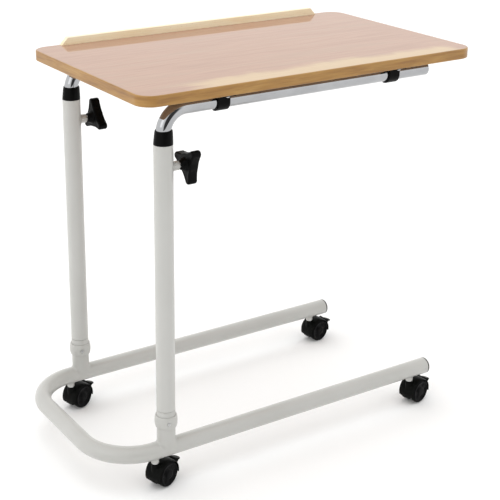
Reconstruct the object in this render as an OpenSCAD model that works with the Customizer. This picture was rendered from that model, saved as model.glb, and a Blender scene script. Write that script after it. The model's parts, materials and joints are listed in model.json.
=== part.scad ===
// Overbed table: a laminated board on two telescopic posts, standing on a
// U-shaped tube base with four braked twin-wheel castors. Millimetres, +Z up,
// origin on the floor under the middle of the overall outline.
// +X runs along the board, away from the posts; +Y runs to the book-lip side.

/* [Board] */
// Length of the board along X
board_l = 600; // [500:10:700]
// Width of the board along Y
board_w = 360; // [320:10:420]
// Thickness of the board
board_t = 16; // [14:1:20]
// Plan radius of the board's corners
board_corner_r = 26; // [15:1:40]
// Thickness of the edge band
band_t = 2; // [1:0.5:3]
// Thickness of the top laminate sheet
laminate_t = 1; // [0.6:0.1:1.5]
// How far the board reaches past the post axes on the post side
board_overhang = 51; // [40:1:70]
// Length of the book lip
lip_l = 500; // [300:2:520]
// Height of the book lip above the board
lip_h = 12; // [8:1:20]
// Thickness of the book lip
lip_t = 9; // [6:1:14]

/* [Posts] */
// Distance between the two post axes
post_spacing = 290; // [240:5:300]
// Outer diameter of the outer post tube
post_d = 28.6; // [28.2:0.2:34]
// Wall of the outer post tube
post_wall = 1.5; // [1.2:0.1:1.5]
// Height of the outer post's top edge
post_top = 548; // [520:0.5:560]
// Height of the outer post's lower edge
post_foot = 131.3; // [125:0.1:140]
// Height of the black collar above the post
collar_h = 20.5; // [18:0.5:24]

/* [Sliding arms] */
// Outer diameter of the bent arm tube
arm_d = 22; // [20:0.5:23]
// Wall of the arm tube
arm_wall = 1.5; // [1.2:0.1:2]
// Centre-line radius of the arm's bend
arm_bend_r = 36; // [34:1:40]
// Height of the arm's horizontal run
arm_z = 598; // [590:0.5:600]
// Reach of the arm past the post axis
arm_reach = 477; // [440:1:520]
// Height of the arm's lower end when fully down
arm_foot = 150; // [146:1:180]

/* [Clamp knobs] */
// Height of the clamp knobs
knob_z = 513; // [480:1:520]
// Overall radius of the three-lobed knob
knob_r = 30.5; // [26:0.5:33]
// Lobe angle of the front knob
front_knob_turn = 15; // [0:5:115]
// Lobe angle of the rear knob
rear_knob_turn = 84; // [0:1:119]

/* [Base] */
// Outer diameter of the base tube
base_d = 27; // [25:0.5:30]
// Wall of the base tube
base_wall = 1.5; // [1.2:0.1:2]
// Height of the base tube's axis
base_z = 64; // [63:0.5:66]
// Distance from the post axes back to the crossbar
base_setback = 100; // [90:1:120]
// Centre-line radius of the base bends
base_bend_r = 80; // [60:5:90]
// Distance from the post axes to the ends of the legs
leg_reach = 518; // [460:1:560]

/* [Castors] */
// Radius of a castor wheel
wheel_r = 20.5; // [19:0.5:23]
// Distance from the stem axis to the axle
castor_trail = 16.3; // [14:0.1:18]
// Distance of the post-side castors behind the post axes
castor_left_x = -20; // [-20:1:0]
// Distance of the leg-end castors from the post axes
castor_right_x = 487; // [440:1:500]
// Heading of the castor near the front post
heading_front_left = 19; // [-180:1:180]
// Heading of the castor near the rear post
heading_rear_left = 22; // [-180:1:180]
// Heading of the castor on the front leg
heading_front_right = 12; // [-180:1:180]
// Heading of the castor on the rear leg
heading_rear_right = 8; // [-180:1:180]

/* [Hidden] */
$fn = 64;

// The outline's middle is the origin, so the post axes sit left of it
base_r = base_d / 2;
post_x = -(board_l - board_overhang - base_setback - base_r) / 2;
front_y = -post_spacing / 2;
rear_y = post_spacing / 2;
board_x = post_x - board_overhang + board_l / 2;
arm_r = arm_d / 2;
post_r = post_d / 2;
post_bore = post_r - post_wall;
board_under = arm_z + arm_r + 4;
board_top = board_under + board_t;
collar_top = post_top + collar_h;
bend_z = arm_z - arm_bend_r;
run = 0.08;               // radial clearance of a sliding or turning fit
stud_r = 4;
lip_y = board_w / 2 - lip_t / 2;
clip_in_x = post_x + 93;
clip_out_x = post_x + 405;
clip_len = 20;
slot_run = 10.4;          // how far the rear clips let their arm travel
spigot_top = post_foot + 13;
ring_low = base_z + 38.5;
ring_high = base_z + 58;
boss_low = base_z - 19.5;

hood_r = wheel_r + 3;
hood_in = wheel_r + 0.8;
hood_half = 15.5;

white = [0.86, 0.86, 0.83];
black = [0.06, 0.06, 0.06];
chrome = [0.8, 0.81, 0.83];
zinc = [0.68, 0.69, 0.70];
wood = [0.85, 0.72, 0.58];
band = [0.62, 0.42, 0.22];

// ---------- shared shapes ----------

// Rectangle with true quarter-round corners
module round_rect(l, w, r) {
    square([l - 2 * r, w], center = true);
    square([l, w - 2 * r], center = true);
    for (sx = [-1, 1], sy = [-1, 1])
        translate([sx * (l / 2 - r), sy * (w / 2 - r)]) circle(r);
}

module ring2d(ro, ri) {
    difference() { circle(ro); circle(ri); }
}

// A cylinder lying along +X from x0 to x1
module rod_x(x0, x1, r) {
    translate([x0, 0, 0]) rotate([0, 90, 0]) cylinder(h = x1 - x0, r = r);
}

// A cylinder lying along +Y from y0 to y1
module rod_y(y0, y1, r) {
    translate([0, y0, 0]) rotate([-90, 0, 0]) cylinder(h = y1 - y0, r = r);
}

// ---------- base ----------

// The U-shaped path of the base, drawn with any tube section
module base_path(ro, ri) {
    leg0 = post_x - base_setback + base_bend_r;
    leg1 = post_x + leg_reach;
    translate([0, 0, base_z]) {
        for (y = [front_y, rear_y])
            translate([leg0, y, 0]) rotate([0, 90, 0])
                linear_extrude(leg1 - leg0) section(ro, ri);
        translate([post_x - base_setback, front_y + base_bend_r, 0]) rotate([-90, 0, 0])
            linear_extrude(post_spacing - 2 * base_bend_r) section(ro, ri);
        translate([leg0, front_y + base_bend_r, 0]) rotate([0, 0, 180])
            rotate_extrude(angle = 90) translate([base_bend_r, 0]) section(ro, ri);
        translate([leg0, rear_y - base_bend_r, 0]) rotate([0, 0, 90])
            rotate_extrude(angle = 90) translate([base_bend_r, 0]) section(ro, ri);
    }
}

module section(ro, ri) {
    if (ri > 0) ring2d(ro, ri); else circle(ro);
}

module base_tube() {
    color(white) base_path(base_r, base_r - base_wall);
}

// Push-in end cap: a skirt inside the tube and a thin domed rim outside it
module leg_cap(y) {
    color(black) translate([post_x + leg_reach, y, base_z]) rotate([0, 90, 0])
        rotate_extrude() polygon([
            [0, -14], [base_r - base_wall - 0.1, -14], [base_r - base_wall - 0.1, 0],
            [base_r, 0], [base_r, 1.6], [base_r - 0.8, 3], [base_r - 3, 4.2], [0, 5]
        ]);
}

// Stub tube welded on the leg, with a reduced spigot that the post drops over
module socket(y) {
    color(white) difference() {
        translate([post_x, y, 0]) rotate_extrude() polygon([
            [0, base_z], [post_r, base_z], [post_r, post_foot - 0.6],
            [post_bore - 0.1, post_foot - 0.6], [post_bore - 0.1, spigot_top - 1.5],
            [post_bore - 1.6, spigot_top], [0, spigot_top]
        ]);
        translate([0, 0, 0]) base_path(base_r, 0);
        translate([post_x, y, base_z + 22]) cylinder(h = 100, r = post_bore - 2.5);
    }
}

// Barrel-shaped locking ring round the stub
module ring(y) {
    color(white) difference() {
        translate([post_x, y, 0]) rotate_extrude() polygon([
            [post_r + 0.05, ring_low], [post_r + 1.6, ring_low],
            [post_r + 2.6, ring_low + 1.2], [post_r + 3.1, ring_low + 5],
            [post_r + 3.3, ring_low + 10], [post_r + 3.1, ring_high - 5],
            [post_r + 2.6, ring_high - 1.2], [post_r + 1.6, ring_high],
            [post_r + 0.05, ring_high]
        ]);
        ring_screw_place(y) rod_x(post_r - 1, post_r + 6, 2.55);
    }
}

// The ring's set screw faces the front, a little to the post side
module ring_screw_place(y) {
    translate([post_x, y, (ring_low + ring_high) / 2]) rotate([0, 0, -104]) children();
}

module ring_screws() {
    color(zinc) for (y = [front_y, rear_y]) ring_screw_place(y) difference() {
        rod_x(post_r + 0.1, post_r + 3.1, 2.5);
        translate([post_r + 1.4, 0, 0]) rotate([0, 90, 0]) cylinder(h = 4, r = 1.25, $fn = 6);
    }
}

// ---------- posts ----------

module post(y) {
    color(white) difference() {
        translate([post_x, y, post_foot]) linear_extrude(post_top - post_foot)
            ring2d(post_r, post_bore);
        translate([post_x, y, knob_z]) rod_x(0, post_r + 2, stud_r + 0.5);
    }
}

// Weld nut that carries the clamp stud
module nut(y) {
    color(white) difference() {
        translate([post_x, y, knob_z]) union() {
            rod_x(post_r - 3, post_r + 9, 7);
            rod_x(post_r + 9, post_r + 10, 6.2);
        }
        translate([post_x, y, knob_z - 20]) cylinder(h = 40, r = post_r);
        translate([post_x, y, knob_z]) rod_x(0, post_r + 20, stud_r + run);
    }
}

// Tapered plastic collar, with a sleeve inside the post and a mouth relieved for the arm's bend
module collar(y) {
    color(black) difference() {
        union() {
            intersection() {
                translate([post_x, y, post_top]) cylinder(h = collar_h, r = post_r);
                translate([post_x + 0.9, y, post_top])
                    cylinder(h = collar_h, r1 = post_r + 1.1, r2 = post_r - 1.8);
            }
            translate([post_x, y, post_top - 26]) cylinder(h = 26, r = post_bore - 0.05);
        }
        translate([post_x, y, post_top - 40]) cylinder(h = 80, r = arm_r + run);
        translate([post_x + arm_bend_r, y, bend_z - 0.5]) rotate([90, 0, 0]) rotate([0, 0, 180])
            rotate([0, 0, -30]) rotate_extrude(angle = 30)
                translate([arm_bend_r, 0]) circle(arm_r + 0.45);
    }
}

// ---------- sliding arms ----------

module arm(y) {
    color(chrome) {
        translate([post_x, y, arm_foot]) linear_extrude(bend_z - arm_foot)
            ring2d(arm_r, arm_r - arm_wall);
        translate([post_x + arm_bend_r, y, bend_z]) rotate([90, 0, 0]) rotate([0, 0, 90])
            rotate_extrude(angle = 90) translate([arm_bend_r, 0]) ring2d(arm_r, arm_r - arm_wall);
        translate([post_x + arm_bend_r, y, arm_z]) rotate([0, 90, 0])
            linear_extrude(arm_reach - arm_bend_r) ring2d(arm_r, arm_r - arm_wall);
    }
}

// Plastic glide round the arm's lower end
module glide(y) {
    color(black) translate([post_x, y, arm_foot]) difference() {
        rotate_extrude() polygon([
            [arm_r + 0.05, 0], [arm_r + 1.4, 0], [post_bore - run, 1.4],
            [post_bore - run, 20.6], [arm_r + 1.4, 22], [arm_r + 0.05, 22]
        ]);
    }
}

// Plug pushed into the arm's open end, all but flush
module arm_plug(y) {
    color(black) translate([post_x + arm_reach, y, arm_z]) rotate([0, 90, 0])
        rotate_extrude() polygon([
            [0, -12], [arm_r - arm_wall - 0.1, -12], [arm_r - arm_wall - 0.1, -0.4],
            [arm_r - arm_wall - 1.5, 0.4], [0, 1]
        ]);
}

// ---------- board ----------

clip_feet = [for (c = [clip_in_x, clip_out_x])
    each [[c, front_y - 21.5], [c, front_y + 21.5], [c, rear_y - 22.5], [c, rear_y + slot_run + 19.4]]];
lip_screw_x = [board_x - 190, board_x, board_x + 190];

module board_core() {
    color(band) difference() {
        translate([board_x, 0, board_under]) linear_extrude(board_t - laminate_t)
            round_rect(board_l - 2 * band_t, board_w - 2 * band_t, board_corner_r - band_t);
        for (p = clip_feet) translate([p[0], p[1], board_under - 1]) cylinder(h = 11, r = 2);
        for (x = lip_screw_x) translate([x, lip_y - 1, board_under - 1]) {
            cylinder(h = board_t + 2, r = 2);
            cylinder(h = 4, r = 3.9);
        }
    }
}

// The sheet is let in round the lip's foot, so the lip stands on the core
module top_laminate() {
    color(wood) translate([board_x, 0, board_top - laminate_t]) linear_extrude(laminate_t) difference() {
        round_rect(board_l - 2 * band_t, board_w - 2 * band_t, board_corner_r - band_t);
        translate([-lip_l / 2 - 0.1, lip_y - lip_t / 2 - 0.1]) square([lip_l + 0.2, lip_t + 10]);
    }
}

module edge_band() {
    color(band) translate([board_x, 0, board_under]) difference() {
        linear_extrude(board_t) difference() {
            round_rect(board_l, board_w, board_corner_r);
            round_rect(board_l - 2 * band_t, board_w - 2 * band_t, board_corner_r - band_t);
        }
        translate([-lip_l / 2 - 0.1, board_w / 2 - lip_t - 0.1, board_t - laminate_t])
            cube([lip_l + 0.2, lip_t + 10, 5]);
    }
}

// Wooden strip with its ends cut back at 45 degrees
module book_lip() {
    h = lip_h + laminate_t;
    color(wood) difference() {
        translate([board_x, board_w / 2, board_top - laminate_t]) rotate([90, 0, 0]) linear_extrude(lip_t) polygon([
            [-lip_l / 2, 0], [lip_l / 2, 0], [lip_l / 2, laminate_t], [lip_l / 2 - lip_h, h],
            [-lip_l / 2 + lip_h, h], [-lip_l / 2, laminate_t]
        ]);
        for (x = lip_screw_x) translate([x, lip_y - 1, board_top - 3]) cylinder(h = 11, r = 1.7);
    }
}

module lip_screws() {
    color(zinc) for (x = lip_screw_x) translate([x, lip_y - 1, board_under + 0.2]) {
        cylinder(h = 2.3, r1 = 3.8, r2 = 1.65);
        cylinder(h = 23, r = 1.65);
    }
}

// Saddle clip under the board. slot lengthens its eye towards +Y
module clip(x, y, eye, slot) {
    wall = 2.8;
    foot = 28;
    far = slot > 0 ? 23.8 : foot;    // the lip-side foot ends short of the board's edge
    color(black) translate([x - clip_len / 2, y, arm_z]) rotate([90, 0, 90]) difference() {
        linear_extrude(clip_len) difference() {
            union() {
                circle(eye + wall);
                translate([slot, 0]) circle(eye + wall);
                translate([0, -eye - wall]) square([slot + 0.001, 2 * (eye + wall)]);
                translate([-eye - wall, 0]) square([slot + 2 * (eye + wall), board_under - arm_z - 0.1]);
                translate([-foot, board_under - arm_z - 3.1]) square([foot + slot + far, 3]);
            }
            circle(eye);
            if (slot > 0) {
                translate([slot, 0]) circle(eye);
                translate([0, -eye]) square([slot, 2 * eye]);
            }
        }
        for (d = (slot > 0 ? [-22.5, slot + 19.4] : [-21.5, 21.5]))
            translate([d, 0, clip_len / 2]) rotate([-90, 0, 0]) cylinder(h = 30, r = 2.2);
    }
}

module clip_screws() {
    color(zinc) for (p = clip_feet) translate([p[0], p[1], board_under - 3.2]) {
        translate([0, 0, -2.2]) cylinder(h = 2.2, r1 = 2.8, r2 = 4.2);
        cylinder(h = 12, r = 1.9);
    }
}

// ---------- clamp ----------

// Swivel pad that bears on the arm
module pad(y) {
    color(zinc) translate([post_x, y, knob_z]) {
        rod_x(arm_r + 0.3, arm_r + 2, 3.6);
        rod_x(arm_r + 1.9, arm_r + 5, 1.5);
    }
}

module stud(y) {
    color(zinc) translate([post_x, y, knob_z]) difference() {
        rod_x(arm_r + 2.3, post_r + 28, stud_r);
        rod_x(arm_r + 2, arm_r + 5.6, 1.5 + run);
    }
}

module knob(y, turn) {
    lobe = 6;
    color(black) translate([post_x, y, knob_z]) rotate([turn, 0, 0]) difference() {
        union() {
            translate([post_r + 12, 0, 0]) rotate([0, 90, 0]) cylinder(h = 10, r1 = 7, r2 = 12);
            translate([post_r + 20, 0, 0]) rotate([90, 0, 90]) linear_extrude(15) {
                circle(15);
                for (a = [0, 120, 240]) rotate(a) hull() {
                    circle(14.2, $fn = 40);
                    translate([knob_r - lobe, 0]) circle(lobe, $fn = 40);
                }
            }
        }
        rod_x(post_r + 5, post_r + 28.2, stud_r + 0.05);
    }
}

// ---------- castors ----------

// name order: front_left, rear_left, front_right, rear_right
castor_at = [
    [post_x + castor_left_x, front_y, heading_front_left],
    [post_x + castor_left_x, rear_y, heading_rear_left],
    [post_x + castor_right_x, front_y, heading_front_right],
    [post_x + castor_right_x, rear_y, heading_rear_right]
];

module at_castor(i) {
    translate([castor_at[i][0], castor_at[i][1], 0]) rotate([0, 0, castor_at[i][2]]) children();
}

module castor_bosses() {
    color(white) difference() {
        for (c = castor_at) translate([c[0], c[1], boss_low]) cylinder(h = 12, r = 6);
        base_path(base_r, 0);
        for (c = castor_at) translate([c[0], c[1], boss_low - 1]) cylinder(h = 30, r = 4.05);
    }
}

// Stem: threaded end in the boss, shoulder, and a grooved journal in the hood
module castor_stems() {
    color(zinc) for (c = castor_at) translate([c[0], c[1], 0]) rotate_extrude() polygon([
        [0, 22], [2.6, 22], [3.4, 22.8], [3.4, 25], [2.8, 25.4], [2.8, 26.6], [3.4, 27],
        [3.4, boss_low - 1.2], [5.6, boss_low - 1.2], [5.6, boss_low - 0.05],
        [4, boss_low - 0.05], [4, boss_low + 5.4], [0, boss_low + 5.4]
    ]);
}

// Hood: a web between the wheels with the stem socket, and an arch over both wheels
module hood(i) {
    socket_top = boss_low - 1.5;
    color(black) at_castor(i) difference() {
        union() {
            intersection() {
                translate([castor_trail, 0, wheel_r]) rod_y(-5.2, 5.2, hood_r - 1);
                translate([castor_trail - 40, -10, 9]) cube([80, 20, 60]);
            }
            cyl_stem_socket(socket_top);
            arch();
            for (s = [-1, 1]) translate([0, s * 9.2 - 1.25, 0]) lug();
        }
        translate([0, 0, 20.5]) cylinder(h = 60, r = 3.4 + run);
        translate([castor_trail, 0, wheel_r]) rod_y(-20, 20, 3);
        translate([0, 0, socket_top]) cylinder(h = 30, r = 9);
        brake_pivot() rod_y(-14, 14, 1.55 + run);
    }
}

module cyl_stem_socket(top) {
    translate([0, 0, 12]) cylinder(h = top - 12, r = 6.2);
}

// Shell over the wheels, from low at the back to low at the front
module arch() {
    translate([castor_trail, hood_half, wheel_r]) rotate([90, 0, 0]) linear_extrude(2 * hood_half)
        difference() {
            circle(hood_r);
            circle(hood_in);
            translate([0, 0]) polygon([[0, 0], [60, 60 * tan(-12)], [60, -60], [-60, -60], [-60, -60 * tan(20)]]);
        }
}

brake_a = 28;             // how far round the hood the pedal's pin sits
brake_px = castor_trail + (hood_r + 3.5) * cos(brake_a);
brake_pz = wheel_r + (hood_r + 3.5) * sin(brake_a);

module brake_pivot() {
    translate([brake_px, 0, brake_pz]) children();
}

// Ear on the arch that holds the brake's pin
module lug() {
    rotate([-90, 0, 0]) linear_extrude(2.5) {
        translate([brake_px, -brake_pz]) circle(3.3);
        polygon([
            [brake_px + 3.3 * sin(brake_a), -brake_pz + 3.3 * cos(brake_a)],
            [brake_px - 3.3 * sin(brake_a), -brake_pz - 3.3 * cos(brake_a)],
            [brake_px - 3.3 * sin(brake_a) - 4.6 * cos(brake_a), -brake_pz - 3.3 * cos(brake_a) + 4.6 * sin(brake_a)],
            [brake_px + 3.3 * sin(brake_a) - 4.6 * cos(brake_a), -brake_pz + 3.3 * cos(brake_a) + 4.6 * sin(brake_a)]
        ]);
    }
}

// Pedal with its own pin, held up by a detent when the wheels run free
module brake(i) {
    color(black) at_castor(i) brake_pivot() difference() {
        union() {
            rod_y(-11.2, 11.2, 1.55);
            rod_y(-7.4, 7.4, 2.6);
            rotate([0, 20, 0]) translate([0, 0, -1.4]) linear_extrude(2.8) {
                translate([0, -6.9]) square([8, 13.8]);
                translate([8, 0]) circle(6.9);
            }
        }
        translate([-30, -7.4, -30]) cube([27, 14.8, 60]);
    }
}

module axle(i) {
    color(zinc) at_castor(i) translate([castor_trail, 0, wheel_r]) rod_y(-13.6, 13.6, 2.98);
}

// side = -1 towards the front, 1 towards the back, before the castor's heading
module wheel(i, side) {
    color(black) at_castor(i) translate([castor_trail, 0, wheel_r]) rotate([side > 0 ? -90 : 90, 0, 0])
        rotate_extrude() polygon([
            [3 + run, 6.8], [6.5, 6.8], [6.5, 9.5], [wheel_r - 4, 9.5], [wheel_r - 4, 6.8],
            [wheel_r - 1.2, 6.8], [wheel_r - 0.3, 7.4], [wheel_r, 8.6], [wheel_r, 13.2],
            [wheel_r - 0.5, 14.4], [wheel_r - 1.6, 15.1], [wheel_r - 3, 15.4], [wheel_r - 5, 14.6],
            [8, 14.6], [6.6, 15.4], [0, 15.4], [0, 14], [3 + run, 14]
        ]);
}

// ---------- nodes ----------

base_tube();
leg_cap(front_y);  // front_leg_cap
leg_cap(rear_y);  // rear_leg_cap
socket(front_y);  // front_socket
socket(rear_y);  // rear_socket
ring(front_y);  // front_ring
ring(rear_y);  // rear_ring
ring_screws();
castor_bosses();
castor_stems();
post(front_y);  // front_post
post(rear_y);  // rear_post
nut(front_y);  // front_nut
nut(rear_y);  // rear_nut
collar(front_y);  // front_collar
collar(rear_y);  // rear_collar
arm(front_y);  // front_arm
glide(front_y);  // front_glide
arm_plug(front_y);  // front_arm_plug
arm(rear_y);  // rear_arm
glide(rear_y);  // rear_glide
arm_plug(rear_y);  // rear_arm_plug
board_core();
top_laminate();
edge_band();
book_lip();
lip_screws();
clip(clip_in_x, front_y, arm_r + run, 0);  // front_inner_clip
clip(clip_out_x, front_y, arm_r + run, 0);  // front_outer_clip
clip(clip_in_x, rear_y, arm_r + 1.1, slot_run);  // rear_inner_clip
clip(clip_out_x, rear_y, arm_r + 1.1, slot_run);  // rear_outer_clip
clip_screws();
pad(front_y);  // front_pad
stud(front_y);  // front_stud
knob(front_y, front_knob_turn);  // front_knob
pad(rear_y);  // rear_pad
stud(rear_y);  // rear_stud
knob(rear_y, rear_knob_turn);  // rear_knob
hood(0);  // front_left_hood
axle(0);  // front_left_axle
wheel(0, -1);  // front_left_near_wheel
wheel(0, 1);  // front_left_far_wheel
brake(0);  // front_left_brake
hood(1);  // rear_left_hood
axle(1);  // rear_left_axle
wheel(1, -1);  // rear_left_near_wheel
wheel(1, 1);  // rear_left_far_wheel
brake(1);  // rear_left_brake
hood(2);  // front_right_hood
axle(2);  // front_right_axle
wheel(2, -1);  // front_right_near_wheel
wheel(2, 1);  // front_right_far_wheel
brake(2);  // front_right_brake
hood(3);  // rear_right_hood
axle(3);  // rear_right_axle
wheel(3, -1);  // rear_right_near_wheel
wheel(3, 1);  // rear_right_far_wheel
brake(3);  // rear_right_brake
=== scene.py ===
# Overbed table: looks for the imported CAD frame. Lengths in this file are millimetres unless a name ends in _m.
import json
import math

import bpy
import bmesh
import numpy as np
from mathutils import Matrix, Vector

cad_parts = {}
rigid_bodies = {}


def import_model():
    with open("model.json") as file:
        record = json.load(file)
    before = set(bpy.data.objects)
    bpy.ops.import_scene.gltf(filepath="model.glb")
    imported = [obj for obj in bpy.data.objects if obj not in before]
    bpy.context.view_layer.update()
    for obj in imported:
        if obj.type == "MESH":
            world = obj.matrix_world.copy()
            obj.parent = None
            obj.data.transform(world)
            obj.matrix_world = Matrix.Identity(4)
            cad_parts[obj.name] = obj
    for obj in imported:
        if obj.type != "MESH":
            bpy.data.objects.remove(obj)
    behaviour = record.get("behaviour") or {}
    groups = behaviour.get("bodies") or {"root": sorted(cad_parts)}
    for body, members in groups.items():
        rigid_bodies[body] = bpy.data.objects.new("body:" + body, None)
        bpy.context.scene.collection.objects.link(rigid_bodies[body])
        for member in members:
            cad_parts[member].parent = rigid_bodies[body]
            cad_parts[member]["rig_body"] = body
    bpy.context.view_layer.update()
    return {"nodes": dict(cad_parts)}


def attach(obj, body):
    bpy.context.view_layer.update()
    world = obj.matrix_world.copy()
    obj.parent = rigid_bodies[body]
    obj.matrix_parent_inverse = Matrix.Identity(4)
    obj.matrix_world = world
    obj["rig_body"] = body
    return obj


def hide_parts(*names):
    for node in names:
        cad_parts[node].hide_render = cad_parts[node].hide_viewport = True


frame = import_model()
NODES = frame["nodes"]
MM = 0.001

# ---------------------------------------------------------------- dimensions
POST_X, FRONT_Y, REAR_Y = -217.75, -145.0, 145.0
POST_R, POST_BORE, POST_TOP, POST_FOOT, COLLAR_H = 14.3, 12.8, 548.0, 131.3, 20.5
ARM_R, ARM_WALL, ARM_BEND, ARM_Z, ARM_REACH, ARM_FOOT = 11.0, 1.5, 36.0, 598.0, 477.0, 150.0
BASE_R, BASE_WALL, BASE_Z, SETBACK, BASE_BEND, LEG_REACH = 13.5, 1.5, 64.0, 100.0, 80.0, 518.0
BOARD_X, BOARD_L, BOARD_W, BOARD_T, CORNER_R, BAND_T = 31.25, 600.0, 360.0, 16.0, 26.0, 2.0
BOARD_UNDER = ARM_Z + ARM_R + 4.0
BOARD_TOP = BOARD_UNDER + BOARD_T
LIP_L, LIP_H, LIP_T = 500.0, 12.0, 9.0
KNOB_Z = 513.0
WHEEL_R, TRAIL, BOSS_LOW = 20.5, 16.3, 44.5
CASTORS = {
    "front_left": (POST_X - 20, FRONT_Y, 19.0),
    "rear_left": (POST_X - 20, REAR_Y, 22.0),
    "front_right": (POST_X + 487, FRONT_Y, 12.0),
    "rear_right": (POST_X + 487, REAR_Y, 8.0),
}
TAU = 2 * math.pi


# ---------------------------------------------------------------- mesh helpers
def make(name, verts, faces, sharp=38.0):
    """A mesh object from millimetre vertices, smooth except at edges sharper than `sharp` degrees."""
    me = bpy.data.meshes.new(name)
    me.from_pydata([tuple(float(c) * MM for c in v) for v in verts], [], faces)
    bm = bmesh.new()
    bm.from_mesh(me)
    bmesh.ops.remove_doubles(bm, verts=bm.verts, dist=1e-7)
    bmesh.ops.recalc_face_normals(bm, faces=bm.faces)
    bm.to_mesh(me)
    bm.free()
    me.validate()
    for p in me.polygons:
        p.use_smooth = True
    me.set_sharp_from_angle(angle=math.radians(sharp))
    o = bpy.data.objects.new(name, me)
    bpy.context.scene.collection.objects.link(o)
    return o


def stack(rings, closed=False, caps=True, base=0):
    """Vertices and faces of rings joined by quads. closed joins the last ring to the first."""
    rings = np.asarray(rings, float)
    m, n = rings.shape[:2]
    verts = rings.reshape(-1, 3).tolist()
    faces = []
    for i in range(m if closed else m - 1):
        a, b = i * n, ((i + 1) % m) * n
        for j in range(n):
            k = (j + 1) % n
            faces.append((base + a + j, base + a + k, base + b + k, base + b + j))
    if caps and not closed:
        faces.append(tuple(base + j for j in range(n)))
        faces.append(tuple(base + (m - 1) * n + j for j in reversed(range(n))))
    return verts, faces


def join(*parts):
    """Several (verts, faces) as one."""
    verts, faces = [], []
    for v, f in parts:
        s = len(verts)
        verts += list(v)
        faces += [tuple(i + s for i in q) for q in f]
    return verts, faces


def lathe(profile, n=72, place=lambda p: p, a0=0.0, bump=None):
    """A closed profile of (radius, height) turned about Z. Points on the axis become one vertex."""
    verts, index = [], []
    for i, (r, z) in enumerate(profile):
        if r < 1e-6:
            index.append([len(verts)] * n)
            verts.append(place((0, 0, z)))
        else:
            index.append(list(range(len(verts), len(verts) + n)))
            for j in range(n):
                a = a0 + TAU * j / n
                rr = r if bump is None else r + bump(a, r, z)
                verts.append(place((rr * math.cos(a), rr * math.sin(a), z)))
    faces = []
    m = len(profile)
    for i in range(m):
        A, B = index[i], index[(i + 1) % m]
        for j in range(n):
            k = (j + 1) % n
            q = [A[j], A[k], B[k], B[j]]
            q = [v for t, v in enumerate(q) if v not in q[:t]]
            if len(q) > 2:
                faces.append(tuple(q))
    return verts, faces


def arc(cx, cy, r, a0, a1, n):
    """n + 1 points of an arc in a plane, degrees."""
    return [(cx + r * math.cos(math.radians(a0 + (a1 - a0) * i / n)), cy + r * math.sin(math.radians(a0 + (a1 - a0) * i / n))) for i in range(n + 1)]


def tube(points, tangents, up, profile, n=72):
    """Rings along a path. profile is a list of (station, radius); the section is a circle round the path."""
    rings = []
    for s, r in profile:
        p, t = np.array(points[s], float), np.array(tangents[s], float)
        t /= np.linalg.norm(t)
        u = np.array(up, float)
        v = np.cross(t, u)
        v /= np.linalg.norm(v)
        rings.append([p + r * (math.cos(TAU * j / n) * u + math.sin(TAU * j / n) * v) for j in range(n)])
    return rings


def hollow(points, tangents, up, ro, ri, n=72, lip=0.35):
    """A closed hollow tube along a path, with its end edges broken."""
    m = len(points)
    t0 = np.array(tangents[0], float) / np.linalg.norm(tangents[0])
    t1 = np.array(tangents[-1], float) / np.linalg.norm(tangents[-1])
    pts = [np.array(p, float) for p in points]
    pts = [pts[0], pts[0] + t0 * lip] + pts[1:-1] + [pts[-1] - t1 * lip, pts[-1]]
    tans = [tangents[0], tangents[0]] + list(tangents[1:-1]) + [tangents[-1], tangents[-1]]
    last = len(pts) - 1
    prof = [(0, ro - lip)] + [(i, ro) for i in range(1, last)] + [(last, ro - lip)]
    prof += [(last, ri + lip * 0.5)] + [(i, ri) for i in range(last - 1, 0, -1)] + [(0, ri + lip * 0.5)]
    return stack(tube(pts, tans, up, prof, n), closed=True)


def applied(o, name=None):
    """The object's mesh with its modifiers applied."""
    bpy.context.view_layer.update()
    dg = bpy.context.evaluated_depsgraph_get()
    me = bpy.data.meshes.new_from_object(o.evaluated_get(dg))
    o.modifiers.clear()
    old = o.data
    o.data = me
    bpy.data.meshes.remove(old)
    me.name = name or o.name
    return o


def soften(node, name, voxel=0.45, rounds=8, keep=0.35, sculpt=None):
    """A moulded version of a CAD node: its edges rounded by a fine remesh and smoothing."""
    me = NODES[node].data.copy()
    me.materials.clear()
    o = bpy.data.objects.new(name, me)
    bpy.context.scene.collection.objects.link(o)
    bm = bmesh.new()
    bm.from_mesh(me)
    bmesh.ops.remove_doubles(bm, verts=bm.verts, dist=2e-6)
    bm.to_mesh(me)
    bm.free()
    a = o.modifiers.new("grid", "REMESH")
    a.mode = "VOXEL"
    a.voxel_size = voxel * MM
    b = o.modifiers.new("ease", "SMOOTH")
    b.factor = 0.5
    b.iterations = rounds
    applied(o)
    if sculpt:
        for v in o.data.vertices:
            v.co = Vector(sculpt(np.array(v.co) / MM)) * MM
    c = o.modifiers.new("thin", "DECIMATE")
    c.ratio = keep
    applied(o, name)
    for p in o.data.polygons:
        p.use_smooth = True
    o.data.set_sharp_from_angle(angle=math.radians(60))
    return o


def at(x, y, z=0.0, turn=0.0):
    """A place function: turned about Z by `turn` degrees, then moved."""
    c, s = math.cos(math.radians(turn)), math.sin(math.radians(turn))
    return lambda p: (x + c * p[0] - s * p[1], y + s * p[0] + c * p[1], z + p[2])


def lying_x(x, y, z):
    """A place function that lays the turning axis along +X."""
    return lambda p: (x + p[2], y + p[0], z + p[1])


# ---------------------------------------------------------------- material helpers
def nodes_of(name):
    m = bpy.data.materials.new(name)
    m.use_nodes = True
    nt = m.node_tree
    return m, nt, nt.nodes["Principled BSDF"]


def set_in(node, **kw):
    for k, v in kw.items():
        key = k.replace("_", " ")
        node.inputs[key].default_value = v


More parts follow.
